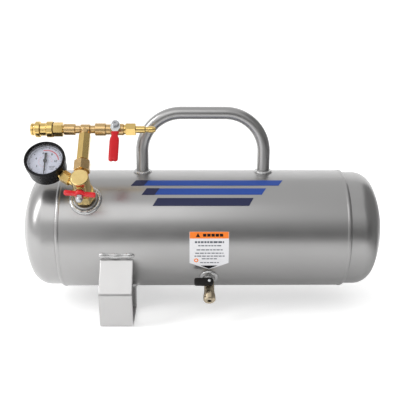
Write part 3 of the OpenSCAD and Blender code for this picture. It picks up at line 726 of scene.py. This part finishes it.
def make_lever_grip():
    """Dipped vinyl sleeve: a flared lip, a narrow neck, a full body and a split tip."""
    shape = Shape(axes(LEVER_AT - OUT * LEVER_BACK, X_AXIS, OUT))
    middle = 10.9
    body = [(-10.9, 4.2, 1.3), (-11.1, 4.9, 1.8), (-12, 5.1, 2.05), (-13.2, 4.7, 2.1), (-14.8, 3.9, 2.15),
            (-16.4, 3.9, 2.25), (-18.4, 4.6, 2.4), (-20.8, 5.5, 2.5), (-24, 5.8, 2.5), (-44, 5.8, 2.5),
            (-49.5, 5.7, 2.45), (-51.4, 5.4, 2.2), (-52.3, 4.8, 1.7), (-52.7, 3.8, 1.1)]
    split_from, split_long, split_deep, split_half = 49.5, 3.2, 1.4, 1.6
    rings = []
    for y, wide, thick in body:
        notch = split_deep * max(0.0, (-y - split_from) / split_long) ** 2
        rings.append([mm(a, y + notch * max(0.0, 1 - (a / split_half) ** 2), middle + b)
                      for a, b in soft_box(wide, thick, sides=40, power=0.85)])
    shape.rings(rings)
    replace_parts(shape.make("lever_grip_sleeve", "red_vinyl", "lever"), "lever_grip")


def make_drain_lever():
    """Moulded lever with a round boss and a soft rim."""
    shape = Shape(axes(DRAIN_AT - DRAIN_UP * DRAIN_BACK, X_AXIS, DRAIN_UP))
    middle, thick = 10.75, 2.85
    arm = [(-18.6, 2.6, 1.6), (-18.3, 3.7, 2.3), (-17.6, 4.3, 2.65), (-16.4, 4.55, thick),
           (-12, 4.7, thick), (-6, 5, thick), (-3.6, 5.2, thick), (0, 5.3, thick), (2.6, 4.7, thick),
           (4, 3.7, 2.7), (4.9, 2.4, 2.3), (5.25, 1.2, 1.6)]
    shape.rings([[mm(x, a, middle + b) for a, b in soft_box(wide, high, power=0.35)]
                 for x, wide, high in arm])
    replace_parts(shape.make("drain_lever_moulding", "black_plastic", "drain"),
                "drain_lever")


make_tee_handle()
make_lever_grip()
make_drain_lever()

# ---------------------------------------------------------------- floor, light and camera


def stage_mesh(name, vertices, faces, material):
    mesh = bpy.data.meshes.new(name)
    mesh.from_pydata(vertices, [], faces)
    mesh.materials.append(material)
    mesh.shade_smooth()
    piece = bpy.data.objects.new(name, mesh)
    bpy.context.scene.collection.objects.link(piece)
    return piece


def make_floor():
    """Pale floor that sweeps up behind the object."""
    look = Look("floor_white", (0.9, 0.9, 0.9), roughness=0.9,
                Specular_IOR_Level=0.1, Emission_Strength=0.4)
    look.shader.inputs["Emission Color"].default_value = (1, 1, 1, 1)
    look.mottle(scale=2, detail=2, low=0.3, high=0.7, amount=0.1, color=(0.86, 0.86, 0.86))
    half, steps, bend_at, bend_r, top = 9.0, 24, 3.5, 2.5, 7.0
    profile = [(-half, 0.0), (bend_at, 0.0)]
    for i in range(1, steps + 1):
        turn = pi / 2 * i / steps
        profile.append((bend_at + bend_r * sin(turn), bend_r - bend_r * cos(turn)))
    profile.append((bend_at + bend_r, top))
    vertices = [(x, y, z) for y, z in profile for x in (-half, half)]
    faces = [(2 * i, 2 * i + 1, 2 * i + 3, 2 * i + 2) for i in range(len(profile) - 1)]
    stage_mesh("floor", vertices, faces, look.material)


def area_light(name, place, aim, size, power):
    data = bpy.data.lights.new(name, "AREA")
    data.shape = "RECTANGLE"
    data.size, data.size_y = size
    data.energy = power
    light = bpy.data.objects.new(name, data)
    light.location = place
    light.rotation_euler = (Vector(aim) - Vector(place)).to_track_quat("-Z", "Y").to_euler()
    bpy.context.scene.collection.objects.link(light)


def hide_from_all_but_gloss(card):
    card.visible_camera = False
    card.visible_diffuse = False
    card.visible_shadow = False
    card.visible_transmission = False


def make_card(name, corners, axis, stops):
    """Dark card that only reflections show; stops are [place along an axis, strength]."""
    look = Look(name, (0.02, 0.02, 0.02), roughness=0.9)
    place = look.add("ShaderNodeSeparateXYZ", {"Vector": look.place}).outputs[axis]
    start, end = stops[0][0], stops[-1][0]
    ramp = look.add("ShaderNodeValToRGB", {"Fac": look.ramp(place, start, end)})
    for spare in stops[2:]:
        ramp.color_ramp.elements.new(0.5)
    for element, (at, strength) in zip(ramp.color_ramp.elements, stops):
        element.position = (at - start) / (end - start)
        element.color = (strength, strength, strength, 1)
    look.feed("Alpha", ramp.outputs["Color"])
    hide_from_all_but_gloss(stage_mesh(name, corners, [(0, 1, 2, 3)], look.material))


def floor_card(name, left, front, back, stops):
    height, right = 0.004, 3
    corners = [(left, front, height), (right, front, height), (right, back, height), (left, back, height)]
    make_card(name, corners, "Y", stops)


def make_cards():
    """Cards in front, to the right and over the floor, which shade what the metal reflects."""
    make_card("card_front", [(-0.34, -1.3, 0.01), (3, -1.3, 0.01), (3, -1.3, 1.1), (-0.34, -1.3, 1.1)],
              "Z", [(0.25, 0.88), (1.1, 0)])
    make_card("card_right", [(1, -1.2, 0.01), (1.3, 1.2, 0.01), (1.3, 1.2, 2.6), (1, -1.2, 2.6)],
              "Z", [(1.6, 0.72), (2.6, 0)])
    floor_card("card_floor_far", -0.5, -1.3, -0.5, [(-1.3, 0.88), (-0.85, 0.8), (-0.65, 0.5), (-0.5, 0.2)])
    floor_card("card_floor_near", -0.085, -0.5, 0.1,
               [(-0.5, 0.2), (-0.4, 0.12), (-0.22, 0.12), (-0.12, 0.25), (-0.04, 0.48), (0.1, 0.5)])
    make_card("card_floor_right", [(0.35, -1.3, 0.006), (3, -1.3, 0.006), (3, 1, 0.006), (0.35, 1, 0.006)],
              "X", [(0.35, 0), (0.5, 0.7), (3, 0.8)])


def make_world():
    world = bpy.data.worlds.new("studio")
    bpy.context.scene.world = world
    world.use_nodes = True
    tree = world.node_tree
    background = tree.nodes["Background"]
    background.inputs["Color"].default_value = (1, 1, 1, 1)
    lighting = 0.8                                      # full white only where the camera sees it
    strength = tree.nodes.new("ShaderNodeMapRange")
    strength.inputs["To Min"].default_value = lighting
    light_path = tree.nodes.new("ShaderNodeLightPath")
    tree.links.new(light_path.outputs["Is Camera Ray"], strength.inputs["Value"])
    tree.links.new(strength.outputs[0], background.inputs["Strength"])


def make_camera():
    place = (-0.0176, -0.8357, 0.3755)
    pitch, yaw, roll = radians(74), radians(0.96), radians(0.23)
    data = bpy.data.cameras.new("camera")
    data.lens = 59.6
    data.sensor_width = 36
    data.clip_start = 0.01
    camera = bpy.data.objects.new("camera", data)
    turn = Matrix.Rotation(-yaw, 4, "Z") @ Matrix.Rotation(pitch, 4, "X") @ Matrix.Rotation(roll, 4, "Z")
    camera.matrix_world = Matrix.Translation(place) @ turn
    bpy.context.scene.collection.objects.link(camera)
    bpy.context.scene.camera = camera


make_floor()
make_world()
make_cards()
make_camera()
area_light("key", place=(-0.38, -0.95, 1.15), aim=(-0.1, 0, 0.1), size=(0.9, 0.8), power=2.2)
area_light("strip", place=(-0.9, -0.35, 0.75), aim=(-0.15, -0.1, 0.2), size=(0.12, 0.7), power=4)

bpy.context.scene.view_settings.view_transform = "Standard"
